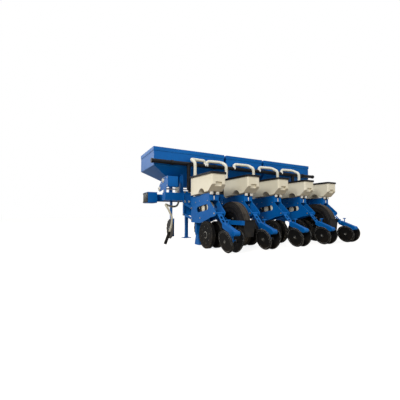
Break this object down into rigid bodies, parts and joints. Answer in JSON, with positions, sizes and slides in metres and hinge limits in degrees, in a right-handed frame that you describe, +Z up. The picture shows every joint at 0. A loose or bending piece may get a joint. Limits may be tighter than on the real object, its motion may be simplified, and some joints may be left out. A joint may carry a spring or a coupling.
{
  "type": "pneumatic seed planter",
  "caption": "Mounted vacuum row-crop planter with tall folded-sheet fertiliser boxes, cream seed hoppers, gauge wheels, V press wheels and a rear ground-drive tyre on each half.",
  "frame": {"origin": "on the ground, under the middle of the machine's bounding box", "axes": "+X to the machine's right, +Y the way it travels, +Z up"},
  "size_m": [4.054, 2.66, 1.68],
  "materials": {
    "blue_paint": "gloss royal-blue paint",
    "cream_plastic": "moulded cream plastic",
    "black_plastic": "black moulded plastic",
    "wheel_rubber": "black rubber",
    "tyre_rubber": "black tyre with a little dust",
    "hose_plastic": "off-white corrugated plastic",
    "bare_steel": "bare steel",
    "black_paint": "black paint"
  },
  "bodies": {
    "machine": {"frame": "blue_paint", "hitch": "blue_paint", "fertiliser_boxes": "blue_paint", "box_posts": "blue_paint", "end_chain_case": "blue_paint", "drive_cover": "blue_paint", "row_bodies": "blue_paint", "press_arms": "blue_paint", "parallel_links": "blue_paint", "link_brackets": "blue_paint", "wheel_arms": "blue_paint", "coulter_legs": "blue_paint", "parking_stands": "blue_paint", "fan_housing": "blue_paint", "fan_drive": "black_paint", "gauge_arms": "blue_paint", "tyre_scrapers": "black_paint", "coulter_discs": "black_paint", "opener_discs": "bare_steel", "fertiliser_shaft": "bare_steel", "fertiliser_meters": "cream_plastic", "seed_meters": "cream_plastic", "seed_hoppers": "cream_plastic", "vacuum_manifold": "black_plastic", "vacuum_hoses": "hose_plastic", "fertiliser_hoses": "hose_plastic", "loose_hose": "hose_plastic", "loose_hose_end": "wheel_rubber"},
    "press_wheel_1_left": {"press_wheel_1_left": "wheel_rubber"},
    "press_wheel_1_right": {"press_wheel_1_right": "wheel_rubber"},
    "press_wheel_2_left": {"press_wheel_2_left": "wheel_rubber"},
    "press_wheel_2_right": {"press_wheel_2_right": "wheel_rubber"},
    "press_wheel_3_left": {"press_wheel_3_left": "wheel_rubber"},
    "press_wheel_3_right": {"press_wheel_3_right": "wheel_rubber"},
    "press_wheel_4_left": {"press_wheel_4_left": "wheel_rubber"},
    "press_wheel_4_right": {"press_wheel_4_right": "wheel_rubber"},
    "press_wheel_5_left": {"press_wheel_5_left": "wheel_rubber"},
    "press_wheel_5_right": {"press_wheel_5_right": "wheel_rubber"},
    "gauge_wheel_1_left": {"gauge_wheel_1_left": "wheel_rubber"},
    "gauge_wheel_1_right": {"gauge_wheel_1_right": "wheel_rubber"},
    "gauge_wheel_2_left": {"gauge_wheel_2_left": "wheel_rubber"},
    "gauge_wheel_2_right": {"gauge_wheel_2_right": "wheel_rubber"},
    "gauge_wheel_3_left": {"gauge_wheel_3_left": "wheel_rubber"},
    "gauge_wheel_3_right": {"gauge_wheel_3_right": "wheel_rubber"},
    "gauge_wheel_4_left": {"gauge_wheel_4_left": "wheel_rubber"},
    "gauge_wheel_4_right": {"gauge_wheel_4_right": "wheel_rubber"},
    "gauge_wheel_5_left": {"gauge_wheel_5_left": "wheel_rubber"},
    "gauge_wheel_5_right": {"gauge_wheel_5_right": "wheel_rubber"},
    "ground_wheel_left": {"tyre_left": "tyre_rubber", "rim_left": "black_paint"},
    "ground_wheel_right": {"tyre_right": "tyre_rubber", "rim_right": "black_paint"},
    "hopper_lid_1": {"hopper_lid_1": "black_plastic"},
    "hopper_lid_2": {"hopper_lid_2": "black_plastic"},
    "hopper_lid_3": {"hopper_lid_3": "black_plastic"},
    "hopper_lid_4": {"hopper_lid_4": "black_plastic"},
    "hopper_lid_5": {"hopper_lid_5": "black_plastic"},
    "box_lid_left": {"box_lid_left": "blue_paint"},
    "box_lid_middle": {"box_lid_middle": "blue_paint"},
    "box_lid_right": {"box_lid_right": "blue_paint"}
  },
  "joints": [
    {"name": "press_wheel_1_left_spin", "type": "hinge", "parent": "machine", "child": "press_wheel_1_left", "pos_m": [-1.392, -1.1775, 0.15099], "axis": [-0.9703, 0, -0.2419], "continuous": true},
    {"name": "press_wheel_1_right_spin", "type": "hinge", "parent": "machine", "child": "press_wheel_1_right", "pos_m": [-1.208, -1.1775, 0.15099], "axis": [0.9703, 0, -0.2419], "continuous": true},
    {"name": "press_wheel_2_left_spin", "type": "hinge", "parent": "machine", "child": "press_wheel_2_left", "pos_m": [-0.742, -1.1775, 0.15099], "axis": [-0.9703, 0, -0.2419], "continuous": true},
    {"name": "press_wheel_2_right_spin", "type": "hinge", "parent": "machine", "child": "press_wheel_2_right", "pos_m": [-0.558, -1.1775, 0.15099], "axis": [0.9703, 0, -0.2419], "continuous": true},
    {"name": "press_wheel_3_left_spin", "type": "hinge", "parent": "machine", "child": "press_wheel_3_left", "pos_m": [-0.092, -1.1775, 0.15099], "axis": [-0.9703, 0, -0.2419], "continuous": true},
    {"name": "press_wheel_3_right_spin", "type": "hinge", "parent": "machine", "child": "press_wheel_3_right", "pos_m": [0.092, -1.1775, 0.15099], "axis": [0.9703, 0, -0.2419], "continuous": true},
    {"name": "press_wheel_4_left_spin", "type": "hinge", "parent": "machine", "child": "press_wheel_4_left", "pos_m": [0.558, -1.1775, 0.15099], "axis": [-0.9703, 0, -0.2419], "continuous": true},
    {"name": "press_wheel_4_right_spin", "type": "hinge", "parent": "machine", "child": "press_wheel_4_right", "pos_m": [0.742, -1.1775, 0.15099], "axis": [0.9703, 0, -0.2419], "continuous": true},
    {"name": "press_wheel_5_left_spin", "type": "hinge", "parent": "machine", "child": "press_wheel_5_left", "pos_m": [1.208, -1.1775, 0.15099], "axis": [-0.9703, 0, -0.2419], "continuous": true},
    {"name": "press_wheel_5_right_spin", "type": "hinge", "parent": "machine", "child": "press_wheel_5_right", "pos_m": [1.392, -1.1775, 0.15099], "axis": [0.9703, 0, -0.2419], "continuous": true},
    {"name": "gauge_wheel_1_left_spin", "type": "hinge", "parent": "machine", "child": "gauge_wheel_1_left", "pos_m": [-1.382, -0.667, 0.203], "axis": [-1, 0, 0], "continuous": true},
    {"name": "gauge_wheel_1_right_spin", "type": "hinge", "parent": "machine", "child": "gauge_wheel_1_right", "pos_m": [-1.218, -0.667, 0.203], "axis": [1, 0, 0], "continuous": true},
    {"name": "gauge_wheel_2_left_spin", "type": "hinge", "parent": "machine", "child": "gauge_wheel_2_left", "pos_m": [-0.732, -0.667, 0.203], "axis": [-1, 0, 0], "continuous": true},
    {"name": "gauge_wheel_2_right_spin", "type": "hinge", "parent": "machine", "child": "gauge_wheel_2_right", "pos_m": [-0.568, -0.667, 0.203], "axis": [1, 0, 0], "continuous": true},
    {"name": "gauge_wheel_3_left_spin", "type": "hinge", "parent": "machine", "child": "gauge_wheel_3_left", "pos_m": [-0.082, -0.667, 0.203], "axis": [-1, 0, 0], "continuous": true},
    {"name": "gauge_wheel_3_right_spin", "type": "hinge", "parent": "machine", "child": "gauge_wheel_3_right", "pos_m": [0.082, -0.667, 0.203], "axis": [1, 0, 0], "continuous": true},
    {"name": "gauge_wheel_4_left_spin", "type": "hinge", "parent": "machine", "child": "gauge_wheel_4_left", "pos_m": [0.568, -0.667, 0.203], "axis": [-1, 0, 0], "continuous": true},
    {"name": "gauge_wheel_4_right_spin", "type": "hinge", "parent": "machine", "child": "gauge_wheel_4_right", "pos_m": [0.732, -0.667, 0.203], "axis": [1, 0, 0], "continuous": true},
    {"name": "gauge_wheel_5_left_spin", "type": "hinge", "parent": "machine", "child": "gauge_wheel_5_left", "pos_m": [1.218, -0.667, 0.203], "axis": [-1, 0, 0], "continuous": true},
    {"name": "gauge_wheel_5_right_spin", "type": "hinge", "parent": "machine", "child": "gauge_wheel_5_right", "pos_m": [1.382, -0.667, 0.203], "axis": [1, 0, 0], "continuous": true},
    {"name": "ground_wheel_left_spin", "type": "hinge", "parent": "machine", "child": "ground_wheel_left", "pos_m": [-0.975, -0.769, 0.352], "axis": [1, 0, 0], "continuous": true},
    {"name": "ground_wheel_right_spin", "type": "hinge", "parent": "machine", "child": "ground_wheel_right", "pos_m": [0.975, -0.769, 0.352], "axis": [1, 0, 0], "continuous": true},
    {"name": "hopper_lid_1_hinge", "type": "hinge", "parent": "machine", "child": "hopper_lid_1", "pos_m": [-1.3, -0.214, 1.122], "axis": [-1, 0, 0], "range_deg": [0, 95]},
    {"name": "hopper_lid_2_hinge", "type": "hinge", "parent": "machine", "child": "hopper_lid_2", "pos_m": [-0.65, -0.214, 1.122], "axis": [-1, 0, 0], "range_deg": [0, 95]},
    {"name": "hopper_lid_3_hinge", "type": "hinge", "parent": "machine", "child": "hopper_lid_3", "pos_m": [0, -0.214, 1.122], "axis": [-1, 0, 0], "range_deg": [0, 95]},
    {"name": "hopper_lid_4_hinge", "type": "hinge", "parent": "machine", "child": "hopper_lid_4", "pos_m": [0.65, -0.214, 1.122], "axis": [-1, 0, 0], "range_deg": [0, 95]},
    {"name": "hopper_lid_5_hinge", "type": "hinge", "parent": "machine", "child": "hopper_lid_5", "pos_m": [1.3, -0.214, 1.122], "axis": [-1, 0, 0], "range_deg": [0, 95]},
    {"name": "box_lid_left_hinge", "type": "hinge", "parent": "machine", "child": "box_lid_left", "pos_m": [-1.241, 1.033, 1.668], "axis": [-1, 0, 0], "range_deg": [0, 105]},
    {"name": "box_lid_middle_hinge", "type": "hinge", "parent": "machine", "child": "box_lid_middle", "pos_m": [0, 1.033, 1.668], "axis": [-1, 0, 0], "range_deg": [0, 105]},
    {"name": "box_lid_right_hinge", "type": "hinge", "parent": "machine", "child": "box_lid_right", "pos_m": [1.241, 1.033, 1.668], "axis": [-1, 0, 0], "range_deg": [0, 105]}
  ]
}
